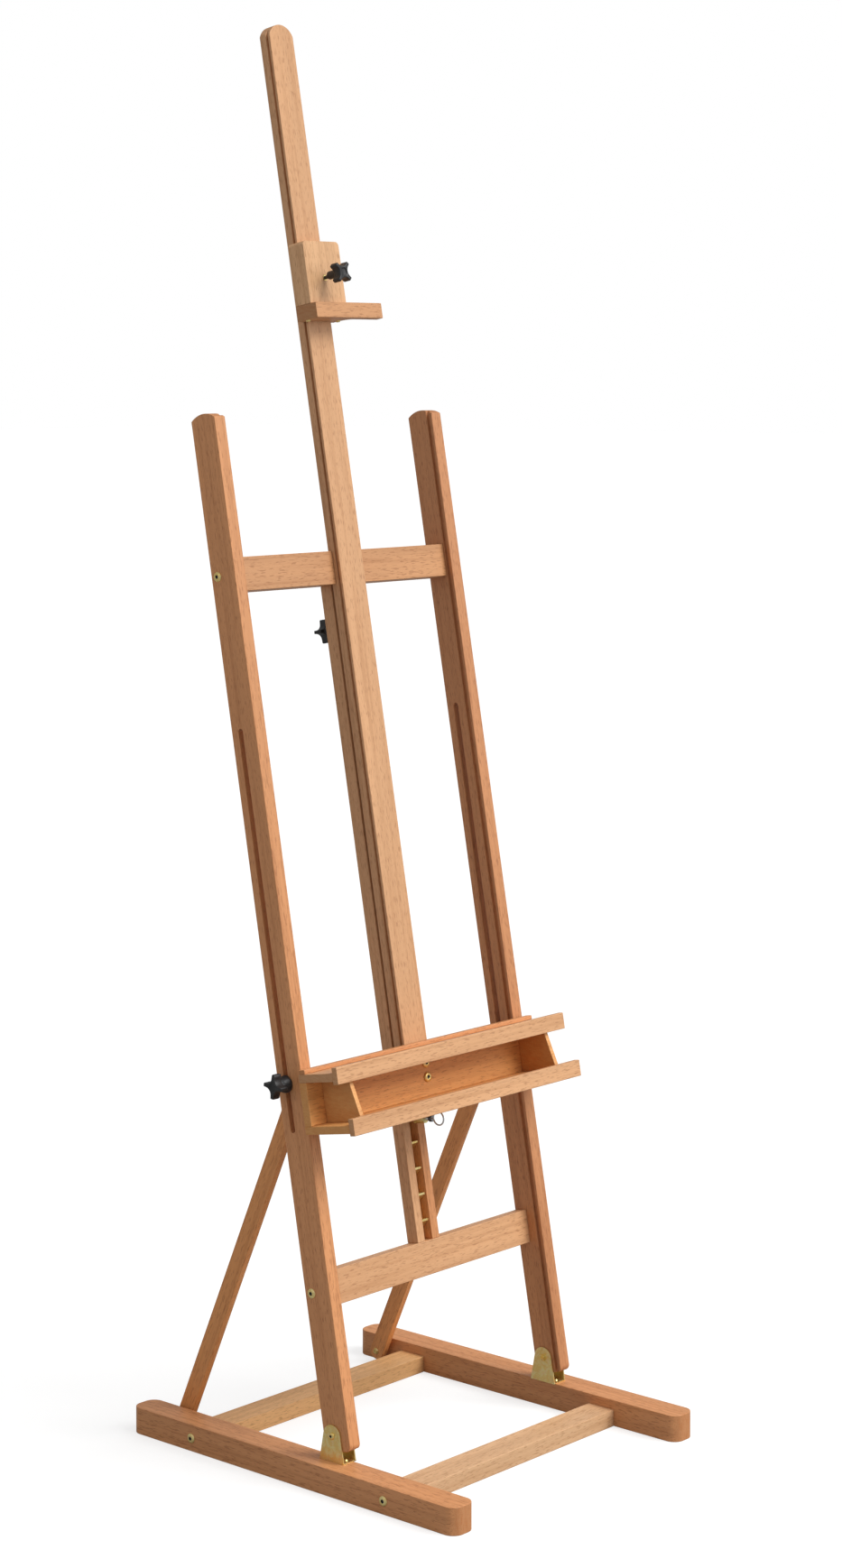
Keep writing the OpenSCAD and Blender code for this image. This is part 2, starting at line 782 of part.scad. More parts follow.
module channel_top_block() color(beech) on_frame() difference() {
    block([-gap_half, gap_half], [channel_front, channel_back], [block_low, upper_rail_at]);
    translate([0, 0, clamp_z]) bar_y([channel_front - cut, channel_back + cut], wood_hole_r);
}

// Steel strip with wedge-shaped teeth, flat on top
module ratchet_rack() color(zinc) on_frame() difference() {
    union() {
        block([-rack_half, rack_half], [plate_front, plate_back], [rack_low, rack_high]);
        for (k = [0 : teeth - 1]) translate([-rack_half, 0, tooth_z0 + k * tooth_pitch])
            rotate([90, 0, 90]) linear_extrude(2 * rack_half)
                polygon([[plate_front + tooth_root, 0], [tooth_front, 0],
                    [tooth_front, -tooth_edge], [plate_front + tooth_root, -tooth_h]]);
    }
    for (z = rack_screw_z) translate([0, 0, z])
        bar_y([plate_front - cut, plate_back + cut], rack_screw_r + pin_play);
}

module rack_screws() color(zinc) on_frame()
    for (z = rack_screw_z) translate([0, plate_front, z])
        rotate([90, 0, 0]) wood_screw(rack_screw_l, rack_screw_r, rack_screw_head);

// ---- Mast clamp ----

module clamp_bolt() color(steel) on_frame() translate([0, 0, clamp_z]) {
    y0 = mast_back - t_neck_d - slide_play;
    block([-t_head / 2, t_head / 2], [y0 - t_head_t, y0], [-t_head / 2, t_head / 2]);
    bar_y([y0 - cut, mast_knob_foot + neck_l + star_t - bore_end - bolt_room], bolt_r);
}

module clamp_washer() color(steel) on_frame() translate([0, 0, clamp_z]) difference() {
    bar_y([channel_back, channel_back + washer_t], washer_r);
    bar_y([channel_back - cut, channel_back + washer_t + cut], shaft_hole_r);
}

module mast_knob() color(black) on_frame()
    translate([0, mast_knob_foot, clamp_z]) rotate([-90, 0, 0]) star_knob(neck_r, neck_l, shaft_hole_r);

// ---- Mast ----

module mast() color(beech) on_frame() difference() {
    intersection() {
        block([-mast_w / 2, mast_w / 2], [mast_front, mast_back], [mast_low, mast_top]);
        translate([0, 0, mast_top - mast_crown_r]) union() {
            bar_y([mast_front - cut, mast_back + cut], mast_crown_r);
            block([-mast_w, mast_w], [mast_front - cut, mast_back + cut], [-2 * mast_l, 0]);
        }
    }
    both_sides() block([mast_w / 2 - mast_groove_depth, mast_w / 2 + cut],
        [groove_front, groove_back], [mast_low - cut, mast_top + cut]);
    block([-t_neck_w / 2, t_neck_w / 2], [mast_back - t_neck_d, mast_back + cut], [t_low, t_high]);
    block([-t_room_w / 2, t_room_w / 2],
        [mast_back - t_neck_d - t_room_d, mast_back - t_neck_d], [t_low, t_high]);
    translate([0, 0, t_low])
        bar_y([mast_back - t_neck_d - t_room_d, mast_back + cut], t_entry_r);
    for (z = tray_bolt_z) translate([0, 0, z])
        bar_y([mast_front - cut, mast_front + insert_l + insert_room], insert_r + pin_play);
    both_sides() translate([latch_screw_x, barrel_mid, mast_low - cut])
        cylinder(h = latch_screw_l, r = tray_screw_r + pin_play);
}

// ---- Tray ----

module tray_back_board() color(beech) on_frame() difference() {
    block([-tray_half, tray_half], [board_front, tray_back], [board_low, board_high]);
    for (z = tray_bolt_z) translate([0, 0, z])
        bar_y([board_front - cut, tray_back + cut], wood_hole_r);
    both_sides() for (z = guide_screw_z) translate([guide_mid, 0, z])
        bar_y([tray_back - guide_screw_grip - screw_room, tray_back + cut], tray_screw_r + pin_play);
}

module tray_lower_shelf() color(beech) on_frame() difference() {
    block([-tray_half, tray_half], [low_front, tray_back], [tray_low, board_low]);
    both_sides() for (y = tray_screw_y) translate([wall_mid, y, tray_low - cut])
        cylinder(h = low_shelf_t + 2 * cut, r = tray_screw_r + pin_play);
}

module tray_upper_shelf() color(beech) on_frame()
    block([-tray_half, tray_half], [up_front, tray_back], [board_high, up_top]);

module tray_lip(y, z) block([-tray_half, tray_half], [y - lip_t, y], [z, z + lip_h]);

module tray_lower_lip() color(beech) on_frame() tray_lip(low_front, low_lip_low);
module tray_upper_lip() color(beech) on_frame() tray_lip(up_front, up_lip_low);

module tray_canvas_stop() color(beech) on_frame()
    block([-tray_half, tray_half], [stop_back - stop_d, stop_back], [up_top, up_top + stop_h]);

// End wall with a sloping front edge, between the two shelves
module tray_wall() difference() {
    translate([wall_in_face, 0, 0]) rotate([90, 0, 90]) linear_extrude(wall_t)
        polygon([[board_front, board_low], [board_front, board_high],
            [up_front + wall_top_set, board_high], [low_front + wall_foot_set, board_low]]);
    for (y = tray_screw_y) translate([wall_mid, y, board_low - cut])
        cylinder(h = tray_screw_l - low_shelf_t + cut, r = tray_screw_r + pin_play);
}

module tray_left_wall() color(beech) on_frame() mirror([1, 0, 0]) tray_wall();
module tray_right_wall() color(beech) on_frame() tray_wall();

module tray_bolts() color(zinc) on_frame()
    for (z = tray_bolt_z) translate([0, board_front, z])
        rotate([90, 0, 0]) socket_bolt(tray_bolt_l);

module tray_inserts() color(zinc) on_frame()
    for (z = tray_bolt_z) translate([0, 0, z]) difference() {
        bar_y([mast_front, mast_front + insert_l], insert_r);
        bar_y([mast_front - cut, mast_front + insert_l + cut], shaft_hole_r);
    }

// Two blocks behind the tray, each with a tongue in a post's groove
module tray_guides() color(beech_dark) on_frame() both_sides() difference() {
    union() {
        block([guide_in, guide_out], [tray_back, guide_back], guide_z);
        block([guide_out - cut, post_in + groove_depth - tongue_play],
            [post_front + groove_lip + tongue_play, post_front + groove_lip + groove_w - tongue_play],
            guide_z);
    }
    for (z = guide_screw_z) translate([guide_mid, 0, z])
        bar_y([tray_back - cut, guide_back + cut], tray_screw_r + pin_play);
}

// Screws of the end walls, of the guides and of the latch barrel
module tray_screws() color(zinc) on_frame() both_sides() {
    for (y = tray_screw_y) translate([wall_mid, y, tray_low])
        rotate([180, 0, 0]) wood_screw(tray_screw_l, tray_screw_r, tray_screw_head);
    for (z = guide_screw_z) translate([guide_mid, guide_back, z])
        rotate([-90, 0, 0]) wood_screw(guide_screw_l, tray_screw_r, tray_screw_head);
    translate([latch_screw_x, barrel_mid, mast_low - flange_t])
        rotate([180, 0, 0]) wood_screw(latch_screw_l, tray_screw_r, latch_screw_head);
}

// ---- Latch under the mast ----

// Spring barrel on a flange that is screwed to the mast's lower end
module latch_barrel() color(zinc) on_frame() difference() {
    union() {
        block([-flange_half, flange_half], [barrel_front, barrel_back],
            [mast_low - flange_t, mast_low]);
        block([-web_half, web_half], [barrel_front, barrel_back], [latch_axis, mast_low - flange_t / 2]);
        translate([0, 0, latch_axis]) bar_y([barrel_front, barrel_back], barrel_r);
    }
    translate([0, 0, latch_axis]) {
        bar_y([barrel_front + barrel_wall, barrel_back - barrel_wall], barrel_bore);
        bar_y([barrel_front - cut, barrel_back + cut], rod_r + pin_play);
    }
    both_sides() translate([latch_screw_x, barrel_mid, mast_low - flange_t - cut])
        cylinder(h = flange_t + 2 * cut, r = tray_screw_r + pin_play);
}

// Plate with a nose that rests on a tooth, bevelled on top
module latch_pawl() color(zinc) on_frame() difference() {
    union() {
        block([-nose_half, nose_half], [pawl_front, pawl_back],
            [latch_axis - pawl_below, latch_z + pawl_above]);
        translate([-nose_half, 0, latch_z + slide_play]) rotate([90, 0, 90])
            linear_extrude(2 * nose_half) polygon([[pawl_back - cut, 0], [nose_tip, 0],
                [nose_tip, nose_edge], [pawl_back - cut, nose_h]]);
    }
    translate([0, 0, latch_axis]) bar_y([pawl_front - cut, pawl_back + cut], rod_r);
}

module latch_rod() color(steel) on_frame() translate([0, 0, latch_axis]) difference() {
    bar_y([rod_front - collar_l, pawl_back], rod_r);
    bar_y([rod_front - collar_l - cut, rod_front + ring_shank], ring_shank_r);
}

// Dark nut that locks the ring to the rod
module latch_nut() color(black) on_frame() translate([0, 0, latch_axis]) difference() {
    bar_y([rod_front - collar_l, rod_front], rod_r + collar_t);
    bar_y([rod_front - collar_l - cut, rod_front + cut], rod_r);
}

// Ring on a short shank that is screwed into the rod
module pull_ring() color(steel) on_frame() {
    translate([0, ring_y, latch_axis]) rotate([0, 90, 0])
        rotate_extrude() translate([ring_r, 0]) circle(r = ring_wire);
    translate([0, 0, latch_axis]) bar_y([ring_y + ring_r, rod_front + ring_shank], ring_shank_r);
}

// ---- Canvas holder ----

// Block with two cheeks; a tongue inside each cheek runs in the mast's side groove
module holder_block() color(beech) on_frame() difference() {
    union() {
        difference() {
            holder_slab([holder_front, cheek_back]);
            block([-mast_side, mast_side], [mast_front - slide_play, cheek_back + cut],
                [holder_low - cut, holder_high + cut]);
        }
        both_sides() block([mast_w / 2 - mast_groove_depth + tongue_play, mast_side + cut],
            [groove_front + slide_play, cheek_back], [holder_low, holder_high - holder_r]);
    }
    translate([0, 0, holder_screw_z]) {
        bar_y([holder_front - cut, mast_front], wood_hole_r);
        bar_y([holder_front - cut, holder_front + insert_l], insert_r + pin_play);
    }
    both_sides() translate([ledge_screw_at, ledge_screw_y, holder_low - cut])
        cylinder(h = ledge_screw_grip + cut + screw_room, r = ledge_screw_r + pin_play);
}

// Slab with round upper corners, between two values of Y
module holder_slab(y) {
    side = holder_w / 2;
    block([-side, side], y, [holder_low, holder_high - holder_r]);
    block([holder_r - side, side - holder_r], y, [holder_low, holder_high]);
    both_sides() translate([side - holder_r, 0, holder_high - holder_r]) bar_y(y, holder_r);
}

// Ledge under the block: full depth behind the block, a thin free end on the right
module holder_ledge() color(beech) on_frame() difference() {
    union() {
        block([-holder_w / 2, holder_w / 2], [ledge_front, cheek_back], [ledge_low, holder_low]);
        block([0, ledge_right], [ledge_front, ledge_front + ledge_tip_t], [ledge_low, holder_low]);
        block([holder_w / 2 - 1, holder_w / 2 + ledge_cove_r],
            [ledge_front + ledge_tip_t - 1, ledge_front + ledge_tip_t + ledge_cove_r],
            [ledge_low, holder_low]);
    }
    translate([holder_w / 2 + ledge_cove_r, ledge_front + ledge_tip_t + ledge_cove_r, ledge_low - cut])
        cylinder(h = ledge_h + 2 * cut, r = ledge_cove_r);
    block([-mast_side, mast_side], [mast_front - slide_play, cheek_back + cut],
        [ledge_low - cut, holder_low + cut]);
    both_sides() translate([ledge_screw_at, ledge_screw_y, ledge_low - cut])
        cylinder(h = ledge_h + 2 * cut, r = ledge_screw_r + pin_play);
}

module ledge_screws() color(zinc) on_frame()
    both_sides() translate([ledge_screw_at, ledge_screw_y, ledge_low])
        rotate([180, 0, 0]) wood_screw(ledge_screw_l, ledge_screw_r, ledge_screw_head);

module holder_insert() color(zinc) on_frame() translate([0, 0, holder_screw_z]) difference() {
    bar_y([holder_front, holder_front + insert_l], insert_r);
    bar_y([holder_front - cut, holder_front + insert_l + cut], shaft_hole_r);
}

module holder_screw() color(steel) on_frame() translate([0, 0, holder_screw_z])
    bar_y([holder_knob_foot - holder_screw_in, mast_front - slide_play], bolt_r);

module holder_knob() color(black) on_frame() translate([0, holder_knob_foot, holder_screw_z])
    rotate([90, 45, 0]) star_knob(holder_neck_r, holder_neck_l, bolt_r);

// ---- Stays ----

// A stay in its own axes: foot pivot at the origin, bolt at stay_l up the stay
module stay() {
    translate([0, stay_foot_y, stay_foot_h]) rotate([stay_lean, 0, 0]) difference() {
        union() {
            block([stay_in, stay_out], [-stay_w / 2, stay_w / 2], [0, stay_l]);
            for (z = [0, stay_l]) translate([0, 0, z]) bar_x([stay_in, stay_out], stay_w / 2);
        }
        bar_x([stay_in - cut, stay_out + cut], foot_screw_r + pin_play);
        translate([0, 0, stay_l]) bar_x([stay_in - cut, stay_out + cut], shaft_hole_r);
    }
}

module at_stay_bolt() translate([0, bolt_y, bolt_z]) children();

// Bolt of a stay, with the spacer between the stay and its post
module stay_bolt() at_stay_bolt() {
    bar_x([stay_in - cut, stay_knob_foot + neck_l + star_t - bore_end - bolt_room], bolt_r);
    translate([stay_in, 0, 0]) rotate([0, -90, 0])
        cylinder(h = stay_head_t, r1 = stay_head_r, r2 = stay_head_r - 2);
    difference() {
        bar_x([stay_out, post_in - slide_play], washer_r);
        bar_x([stay_out - cut, post_in + cut], shaft_hole_r);
    }
}

module stay_knob() at_stay_bolt() translate([stay_knob_foot, 0, 0])
    rotate([0, 90, 0]) star_knob(neck_r, neck_l, shaft_hole_r);

module left_stay() color(beech_dark) mirror([1, 0, 0]) stay();
module left_stay_bolt() color(zinc) mirror([1, 0, 0]) stay_bolt();
module left_stay_knob() color(black) mirror([1, 0, 0]) stay_knob();
module right_stay() color(beech_dark) stay();
module right_stay_bolt() color(zinc) stay_bolt();
module right_stay_knob() color(black) stay_knob();

// ---- Pieces to build ----

left_runner();
right_runner();
front_rail();
rear_rail();
rail_bolts();
rail_nuts();
rail_dowels();
left_bracket();
right_bracket();
bracket_screws();
pivot_bolts();
pivot_nuts();
stay_foot_screws();
stay_foot_washers();
left_post();
right_post();
upper_crossrail();
lower_crossrail();
crossrail_bolts();
crossrail_nuts();
frame_dowels();
channel_left();
channel_right();
channel_batten();
channel_top_block();
ratchet_rack();
rack_screws();
clamp_bolt();
clamp_washer();
mast_knob();
mast();
tray_back_board();
tray_lower_shelf();
tray_upper_shelf();
tray_lower_lip();
tray_upper_lip();
tray_canvas_stop();
tray_left_wall();
tray_right_wall();
tray_bolts();
tray_inserts();
tray_guides();
tray_screws();
latch_barrel();
latch_pawl();
latch_rod();
latch_nut();
pull_ring();
holder_block();
holder_ledge();
ledge_screws();
holder_insert();
holder_screw();
holder_knob();
left_stay();
left_stay_bolt();
left_stay_knob();
right_stay();
right_stay_bolt();
right_stay_knob();
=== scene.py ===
import math

import bmesh
import bpy
from mathutils import Matrix, Vector


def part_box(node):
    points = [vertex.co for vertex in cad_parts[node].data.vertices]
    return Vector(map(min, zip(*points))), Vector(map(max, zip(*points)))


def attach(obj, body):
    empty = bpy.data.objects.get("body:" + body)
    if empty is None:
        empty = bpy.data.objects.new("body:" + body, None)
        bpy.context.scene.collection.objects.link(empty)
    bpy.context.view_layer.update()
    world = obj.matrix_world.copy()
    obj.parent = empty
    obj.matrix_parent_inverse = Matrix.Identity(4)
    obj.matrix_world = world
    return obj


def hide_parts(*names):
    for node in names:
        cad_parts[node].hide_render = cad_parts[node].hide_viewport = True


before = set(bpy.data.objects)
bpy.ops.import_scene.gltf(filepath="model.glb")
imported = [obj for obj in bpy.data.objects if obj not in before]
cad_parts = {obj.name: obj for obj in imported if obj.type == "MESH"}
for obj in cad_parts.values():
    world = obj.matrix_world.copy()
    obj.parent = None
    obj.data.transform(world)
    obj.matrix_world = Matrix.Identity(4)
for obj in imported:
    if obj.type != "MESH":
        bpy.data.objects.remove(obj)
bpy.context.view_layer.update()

MM = 0.001
LEAN = math.radians(10.3)
STAY_LEAN = math.radians(23.94)

# ---------------------------------------------------------------- materials


class Value:
    """A number that changes over a surface. Sums and products of values add Math nodes."""

    def __init__(self, finish, socket):
        self.finish = finish
        self.socket = socket

    def sum(self, operation, first, second):
        return self.finish.add("ShaderNodeMath", {"operation": operation}, {0: first, 1: second})

    def __add__(self, other):
        return self.sum("ADD", self, other)

    def __radd__(self, other):
        return self.sum("ADD", other, self)

    def __sub__(self, other):
        return self.sum("SUBTRACT", self, other)

    def __rsub__(self, other):
        return self.sum("SUBTRACT", other, self)

    def __mul__(self, other):
        return self.sum("MULTIPLY", self, other)

    def __rmul__(self, other):
        return self.sum("MULTIPLY", other, self)

    def __abs__(self):
        return self.sum("ABSOLUTE", self, 0.0)


class Finish:
    """A material whose nodes are added one at a time."""

    def __init__(self, name, **constants):
        self.material = bpy.data.materials.new(name)
        self.material.use_nodes = True
        self.tree = self.material.node_tree
        self.shader = self.tree.nodes["Principled BSDF"]
        for socket, value in constants.items():
            self.shader.inputs[socket.replace("_", " ")].default_value = value

    def put(self, socket, value):
        if isinstance(value, Value):
            self.tree.links.new(value.socket, socket)
        else:
            socket.default_value = value

    def add(self, kind, settings, sockets, out=0):
        """Adds a node of that kind, makes its settings, then fills its sockets with values or links."""
        node = self.tree.nodes.new(kind)
        for name, value in settings.items():
            setattr(node, name, value)
        for socket, value in sockets.items():
            self.put(node.inputs[socket], value)
        return Value(self, node.outputs[out])

    def surface(self, socket, value):
        self.put(self.shader.inputs[socket], value)

    def place(self, turn=(0, 0, 0), shift=(0, 0, 0), stretch=(1, 1, 1)):
        """Position on the piece, turned and then stretched."""
        here = self.add("ShaderNodeTexCoord", {}, {}, out="Object")
        turned = self.add("ShaderNodeMapping", {"vector_type": "POINT"},
                          {"Vector": here, "Rotation": turn, "Location": shift})
        return self.add("ShaderNodeVectorMath", {"operation": "MULTIPLY"}, {0: turned, 1: stretch})

    def noise(self, where, scale, detail=3.0, roughness=0.55, distortion=0.0):
        return self.add("ShaderNodeTexNoise", {}, {
            "Vector": where, "Scale": scale, "Detail": detail, "Roughness": roughness,
            "Distortion": distortion})

    def between(self, value, low, high):
        """Value rescaled from low..high to 0..1, smooth at both ends."""
        return self.add("ShaderNodeMapRange", {"interpolation_type": "SMOOTHSTEP"},
                        {"Value": value, "From Min": low, "From Max": high})

    def blend(self, share, first, second):
        """Colour that goes from the first to the second as share goes from 0 to 1."""
        return self.add("ShaderNodeMix", {"data_type": "RGBA"}, {0: share, 6: first, 7: second}, out=2)

    def relief(self, height, depth, strength=1.0):
        """Bumps, where a height from 0 to 1 stands for 0 to depth, in metres."""
        self.surface("Normal", self.add("ShaderNodeBump", {}, {
            "Height": height, "Distance": depth, "Strength": strength}))


def rgb(red, green, blue):
    return (red, green, blue, 1.0)


# Turns that bring each grain direction upright
UPRIGHT = {
    "up_frame": (LEAN, 0, 0),
    "across": (0, math.radians(-90), 0),
    "front_to_back": (math.radians(90), 0, 0),
    "up_stay": (-STAY_LEAN, 0, 0),
}

# Directions of the grain in the piece's own axes
ALONG = {
    "up_frame": (0, math.sin(LEAN), math.cos(LEAN)),
    "across": (1, 0, 0),
    "front_to_back": (0, 1, 0),
    "up_stay": (0, -math.sin(STAY_LEAN), math.cos(STAY_LEAN)),
}


def beech(name, grain, tone, number):
    """Oiled steamed beech: long soft bands, fine pores and short dark flecks along the grain.

    The number shifts the figure, so that no two boards look the same.
    """
    light = rgb(*[min(1.0, c * 1.13) for c in tone])
    dark = rgb(*[c * k for c, k in zip(tone, (0.80, 0.72, 0.64))])
    fleck = rgb(*[c * k for c, k in zip(tone, (0.52, 0.40, 0.30))])
    wood = Finish(name, Specular_IOR_Level=0.42, Coat_Roughness=0.35, Coat_IOR=1.45)
    turn, shift = UPRIGHT[grain], (0.37 * number, 0.61 * number, 0.83 * number)

    def laid(length):
        """Position along the grain, where a length below 1 draws the figure out."""
        return wood.place(turn, shift, (1, 1, length))

    bands = wood.noise(laid(0.05), 26, 4, 0.55, 0.7)
    rings = wood.noise(laid(0.022), 150, 3, 0.6, 0.25)
    pores = wood.noise(laid(0.03), 900, 2, 0.6)
    flecks = wood.noise(laid(0.13), 620, 1, 0.4)
    patches = wood.noise(laid(0.5), 5, 2, 0.5)

    colour = wood.blend(wood.between(bands, 0.34, 0.68), rgb(*tone), light)
    colour = wood.blend(wood.between(rings, 0.44, 0.70) * 0.62, colour, dark)
    colour = wood.blend(wood.between(patches, 0.45, 0.75) * 0.20, colour, dark)
    colour = wood.blend(wood.between(pores, 0.55, 0.80) * 0.30, colour, dark)
    colour = wood.blend(wood.between(flecks, 0.57, 0.67) * 0.50, colour, fleck)

    facing = wood.add("ShaderNodeTexCoord", {}, {}, out="Normal")
    end = abs(wood.add("ShaderNodeVectorMath", {"operation": "DOT_PRODUCT"},
                       {0: facing, 1: ALONG[grain]}, out="Value"))
    end_grain = wood.between(end, 0.55, 0.9)
    pits = wood.noise(wood.place(turn, shift), 1100, 2, 0.6)
    arcs = wood.noise(wood.place(turn, shift, (1, 0.25, 1)), 260, 2, 0.5, 0.6)
    sawn = wood.blend(wood.between(arcs, 0.35, 0.7), rgb(*[c * 0.86 for c in tone]), dark)
    sawn = wood.blend(wood.between(pits, 0.5, 0.7) * 0.5, sawn, fleck)
    wood.surface("Base Color", wood.blend(end_grain, colour, sawn))

    wood.surface("Roughness", 0.40 + 0.14 * rings + 0.10 * flecks + 0.12 * end_grain)
    wood.surface("Coat Weight", 0.16 - 0.12 * end_grain)
    wood.relief(rings * 0.5 - wood.between(flecks, 0.58, 0.70) * 0.5 - pores * 0.6, 0.00025, 0.55)
    return wood.material


def yellow_zinc():
    """Steel plated with zinc and passivated: gold, with faint green and rose clouds."""
    plate = Finish("yellow_zinc", Metallic=1.0, Specular_IOR_Level=0.5)
    clouds = plate.noise(plate.place(), 95, 3, 0.6, 1.2)
    haze = plate.noise(plate.place((0, 0, 0.6), (2, 1, 3)), 160, 2, 0.5, 0.8)
    scuffs = plate.noise(plate.place((0.5, 0.2, 0), (1, 4, 2), (1, 0.08, 1)), 1500, 2, 0.6)
    colour = plate.blend(plate.between(clouds, 0.38, 0.66), rgb(0.84, 0.62, 0.22), rgb(0.88, 0.76, 0.36))
    colour = plate.blend(plate.between(haze, 0.52, 0.72) * 0.45, colour, rgb(0.88, 0.60, 0.36))
    colour = plate.blend(plate.between(clouds, 0.60, 0.75) * 0.4, colour, rgb(0.74, 0.76, 0.38))
    plate.surface("Base Color", plate.blend(plate.between(scuffs, 0.58, 0.72) * 0.25, colour,
                                            rgb(0.96, 0.92, 0.74)))
    plate.surface("Roughness", 0.30 + 0.14 * haze + 0.10 * scuffs)
    plate.relief(scuffs * 0.5 + haze, 0.00008, 0.4)
    return plate.material


def bright_zinc(name="bright_zinc", colour=(0.66, 0.66, 0.66)):
    """Drawn steel wire and turned bar with a clear zinc plate."""
    plate = Finish(name, Metallic=1.0)
    lines = plate.noise(plate.place((LEAN, 0, 0), (0, 0, 0), (1, 0.06, 1)), 1300, 3, 0.6)
    spots = plate.noise(plate.place((0.3, 0, 0.2), (5, 2, 1)), 240, 3, 0.6)
    worn = rgb(*[c * 0.72 for c in colour])
    plate.surface("Base Color", plate.blend(plate.between(spots, 0.45, 0.75) * 0.6, rgb(*colour), worn))
    plate.surface("Roughness", 0.22 + 0.16 * lines + 0.10 * spots)
    plate.relief(lines, 0.00006, 0.35)
    return plate.material


def black_plastic():
    """Moulded nylon with a fine spark-eroded grain, shinier where fingers rub it."""
    nylon = Finish("black_plastic", Specular_IOR_Level=0.5)
    grain = nylon.noise(nylon.place(), 2600, 2, 0.6)
    rubbed = nylon.noise(nylon.place((0.4, 0.7, 0), (3, 3, 1)), 130, 2, 0.5)
    dust = nylon.noise(nylon.place((0, 0.4, 0.2), (1, 7, 2)), 420, 4, 0.7)
    deep, worn = rgb(0.012, 0.012, 0.013), rgb(0.020, 0.020, 0.021)
    colour = nylon.blend(nylon.between(rubbed, 0.35, 0.7), deep, worn)
    dusty = rgb(0.06, 0.058, 0.055)
    nylon.surface("Base Color", nylon.blend(nylon.between(dust, 0.62, 0.8) * 0.3, colour, dusty))
    nylon.surface("Roughness", 0.34 + 0.16 * grain + 0.10 * rubbed)
    nylon.relief(grain, 0.00012, 0.5)
    return nylon.material


WARM = (0.610, 0.272, 0.110)
ROSY = (0.540, 0.236, 0.098)
RUSSET = (0.540, 0.265, 0.116)
TAWNY = (0.690, 0.292, 0.094)
AMBER = (0.740, 0.360, 0.118)
HONEY = (0.620, 0.337, 0.166)
STRAW = (0.640, 0.370, 0.186)
GOLDEN = (0.730, 0.410, 0.176)
PALE = (0.660, 0.402, 0.218)

# Each wooden node: the way its grain runs and the tone of its board
BOARDS = {
    "left_runner": ("front_to_back", WARM), "right_runner": ("front_to_back", WARM),
    "front_rail": ("across", PALE), "rear_rail": ("across", GOLDEN),
    "left_post": ("up_frame", WARM), "right_post": ("up_frame", ROSY),
    "upper_crossrail": ("across", RUSSET), "lower_crossrail": ("across", HONEY),
    "channel_left": ("up_frame", HONEY), "channel_right": ("up_frame", WARM),
    "channel_batten": ("up_frame", ROSY), "channel_top_block": ("up_frame", WARM),
    "mast": ("up_frame", HONEY),
    "tray_back_board": ("across", AMBER), "tray_lower_shelf": ("across", AMBER),
    "tray_upper_shelf": ("across", HONEY), "tray_lower_lip": ("across", HONEY),
    "tray_upper_lip": ("across", HONEY), "tray_canvas_stop": ("across", WARM),
    "tray_left_wall": ("across", AMBER), "tray_right_wall": ("across", AMBER),
    "tray_guides": ("up_frame", WARM),
    "holder_block": ("up_frame", STRAW), "holder_ledge": ("across", RUSSET),
    "left_stay": ("up_stay", TAWNY), "right_stay": ("up_stay", TAWNY),
    "rail_dowels": ("across", PALE), "frame_dowels": ("across", PALE),
}
PLATED = ["rail_bolts", "rail_nuts", "left_bracket", "right_bracket", "bracket_screws", "pivot_bolts",
          "pivot_nuts", "stay_foot_screws", "stay_foot_washers", "crossrail_bolts", "crossrail_nuts",
          "ratchet_rack", "rack_screws", "tray_bolts", "tray_inserts", "tray_screws", "latch_barrel",
          "latch_pawl", "ledge_screws", "holder_insert", "left_stay_bolt", "right_stay_bolt"]
BRIGHT = ["clamp_bolt", "clamp_washer", "latch_rod", "pull_ring"]


def dress(node, material):
    """Gives every slot of a CAD piece that material."""
    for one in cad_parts[node].material_slots:
        one.material = material


# ---------------------------------------------------------------- shapes


def ease_edges(node, width, clamped=False):
    """Rounds a CAD piece's sharp edges with modifiers, so that its own mesh stays as it is."""
    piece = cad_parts[node]
    for face in piece.data.polygons:
        face.use_smooth = True
    join = piece.modifiers.new("join", "WELD")
    join.merge_threshold = 0.00002
    flat = piece.modifiers.new("flat", "DECIMATE")
    flat.decimate_type = "DISSOLVE"
    flat.angle_limit = math.radians(0.8)
    ease = piece.modifiers.new("ease", "BEVEL")
    ease.width = width
    ease.segments = 2
    ease.limit_method = "ANGLE"
    ease.angle_limit = math.radians(40)
    ease.use_clamp_overlap = clamped
    ease.loop_slide = False
    shade = piece.modifiers.new("shade", "WEIGHTED_NORMAL")
    shade.keep_sharp = False
    shade.weight = 100


def new_piece(name, mesh, material):
    data = bpy.data.meshes.new(name)
    mesh.to_mesh(data)
    mesh.free()
    for face in data.polygons:
        face.use_smooth = True
    piece = bpy.data.objects.new(name, data)
    bpy.context.collection.objects.link(piece)
    data.materials.append(material)
    return piece


# Star knobs, in millimetres: the head's tip radius, thickness, points and edge radius
STAR_TIP = 18.5
STAR_T = 15.0
STAR_POINTS = 4
STAR_SOFT = 2.2
# Steps in a quarter round edge, and in the outline from point to point
EDGE_STEPS = 4
POINT_STEPS = 24
# The round hollows between the points: their radius and how far out they are, as shares of the tip radius
HOLLOW = 0.67
HOLLOW_OUT = 1.157
# The neck: how deep its bore is, where its flare starts, how much shorter the flare is than the neck,
# how wide the neck is under the head, and the fillet there
BORE_DEEP = 9.0
FLARE_LOW = 2.2
FLARE_SHORT = 3.2
WAIST = 9.5
WAIST_FILLET = 1.0
# The dish in the head's face: depth and radius from its rim to its middle
DISH = [(0.0, 6.6), (0.4, 6.1), (1.6, 5.6), (1.9, 4.8), (1.9, 0.02)]


